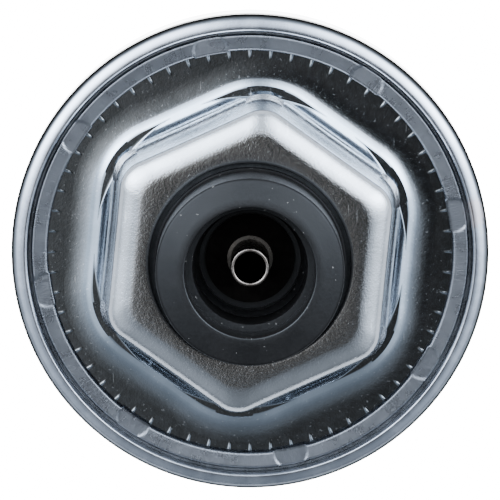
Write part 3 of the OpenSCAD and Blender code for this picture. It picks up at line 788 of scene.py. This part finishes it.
def set_camera():
    """A long lens that looks down on the connector, tilted a little towards +Y."""
    back = camera_axis()
    right = Vector((1, 0, 0))
    up = back.cross(right)
    target = Vector((0, 0, ROLL_TOP - ROLL_R)) * MM + up * 0.22 * MM
    data = bpy.data.cameras.new("camera")
    data.lens = CAMERA_DISTANCE * EDGE_SHARE * data.sensor_width / (CAN_R * MM)
    camera = bpy.data.objects.new("camera", data)
    bpy.context.scene.collection.objects.link(camera)
    place = target + back * CAMERA_DISTANCE
    turn = Matrix((right, up, back)).transposed().to_4x4()
    camera.matrix_world = Matrix.Translation(place) @ turn
    bpy.context.scene.camera = camera


# Strength of the studio's light for each 30 degrees round Z, from +X to +X again
LIGHT_ROUND = (2.7, 13, 7, 1.3, 9, 13, 2.0, 0.9, 0.3, 0.12, 0.25, 0.9, 2.7)
# Share of it for each angle down from Z
LIGHT_DOWN = ((0, 0.0), (9, 0.001), (12, 0.03), (16, 0.26), (22, 0.42), (31, 0.6),
              (45, 0.95), (68, 1.0), (88, 0.5), (100, 0.2), (120, 0.1), (180, 0.1))
# Even light for each angle down from Z
LIGHT_EVEN = ((0, 0.005), (8, 0.008), (13, 0.06), (18, 0.14), (26, 0.2), (90, 0.2), (180, 0.1))
GLOW_AT = (-0.27, 0.0, 0.963)
GLOW_WIDTH = 0.12
GLOW_STRENGTH = 1.0
TINT_NEAR = (1.0, 0.985, 0.96, 1.0)
TINT_FAR = (0.81, 0.94, 1.11, 1.0)
# The tint starts here, as a share of 180 degrees down from Z, and is full 1 / TINT_STEEP on
TINT_START = 0.045
TINT_STEEP = 14.0
FLOOR_R = 1.5
FLOOR_GAP = 0.0002
FLOOR_DIM = 0.2
FLOOR_GLOW = 17.0
FLOOR_GLOW_R = 0.045
FLOOR_GLOW_EDGE = 0.03


def curve_ramp(tree, factor, stops):
    """A node that turns a factor from 0 to 1 into a smooth curve through the stops."""
    made = tree.nodes.new("ShaderNodeValToRGB")
    ramp = made.color_ramp
    ramp.interpolation = "EASE"
    while len(ramp.elements) > 1:
        ramp.elements.remove(ramp.elements[-1])
    for index, (place, value) in enumerate(stops):
        element = ramp.elements[0] if index == 0 else ramp.elements.new(place)
        element.position = place
        element.color = (value, value, value, 1.0)
    tree.links.new(factor, made.inputs["Fac"])
    return made.outputs["Color"]


def set_world():
    """Studio light as a sky: soft boxes high on the left and right, dark overhead but for a
    small glow on the left, and weak on the -Y side."""
    world = bpy.data.worlds.new("studio")
    world.use_nodes = True
    bpy.context.scene.world = world
    tree = world.node_tree

    def value(operation, a, b=0.0):
        made = tree.nodes.new("ShaderNodeMath")
        made.operation = operation
        for socket, given in zip(made.inputs, (a, b)):
            if isinstance(given, (int, float)):
                socket.default_value = given
            else:
                tree.links.new(given, socket)
        return made.outputs[0]

    where = tree.nodes.new("ShaderNodeTexCoord").outputs["Generated"]
    parts = tree.nodes.new("ShaderNodeSeparateXYZ")
    tree.links.new(where, parts.inputs[0])
    x, y, z = parts.outputs
    turn = value("FRACT", value("ADD", value("DIVIDE", value("ARCTAN2", y, x), math.tau), 1.0))
    down = value("DIVIDE", value("ARCCOSINE", z), math.pi)
    top = max(LIGHT_ROUND)
    around = curve_ramp(tree, turn, [(i / 12, v / top) for i, v in enumerate(LIGHT_ROUND)])
    fall = curve_ramp(tree, down, [(angle / 180, share) for angle, share in LIGHT_DOWN])
    even_top = 0.5
    even = curve_ramp(tree, down, [(angle / 180, v / even_top) for angle, v in LIGHT_EVEN])
    away = tree.nodes.new("ShaderNodeVectorMath")
    away.operation = "DISTANCE"
    tree.links.new(where, away.inputs[0])
    away.inputs[1].default_value = GLOW_AT
    spread = value("POWER", value("DIVIDE", away.outputs["Value"], GLOW_WIDTH), 2.0)
    glow = value("MULTIPLY", value("EXPONENT", value("MULTIPLY", spread, -0.5)), GLOW_STRENGTH)
    strength = value("MULTIPLY", value("MULTIPLY", around, fall), top)
    strength = value("ADD", strength, value("MULTIPLY", even, even_top))
    strength = value("ADD", strength, glow)
    background = tree.nodes["Background"]
    tree.links.new(strength, background.inputs["Strength"])
    tint = tree.nodes.new("ShaderNodeMix")
    tint.data_type = "RGBA"
    past = value("MULTIPLY", value("SUBTRACT", down, TINT_START), TINT_STEEP)
    tree.links.new(past, tint.inputs["Factor"])
    tint.inputs[6].default_value = TINT_NEAR
    tint.inputs[7].default_value = TINT_FAR
    tree.links.new(tint.outputs[2], background.inputs["Color"])


def set_floor():
    """A plain white sheet, lit from behind where the sender stands."""
    bm = bmesh.new()
    bmesh.ops.create_circle(bm, cap_ends=True, segments=96, radius=FLOOR_R)
    bmesh.ops.translate(bm, verts=bm.verts[:], vec=(0, 0, -FLOOR_GAP))
    mesh = bpy.data.meshes.new("floor")
    bm.to_mesh(mesh)
    bm.free()
    p = Paint("floor_paper")
    _, radius, _ = p.polar_place(1.0, 1.0)
    p.colour((0.42, 0.42, 0.42))
    p.shader.inputs["Emission Color"].default_value = (1.0, 1.0, 1.0, 1.0)
    glow = p.ramp(radius, FLOOR_GLOW_R + FLOOR_GLOW_EDGE, FLOOR_GLOW_R, FLOOR_DIM, FLOOR_GLOW)
    p.link(glow, p.shader.inputs["Emission Strength"])
    mesh.materials.append(p.finish(0.0, 0.9))
    floor = bpy.data.objects.new("floor", mesh)
    bpy.context.scene.collection.objects.link(floor)


set_camera()
set_world()
set_floor()
MATERIALS = make_materials()
dress_cad_nodes(MATERIALS)
can_shell(MATERIALS)
hex_skin(MATERIALS)
flange_skin(MATERIALS)
connector(MATERIALS)
pin(MATERIALS)
port(MATERIALS)
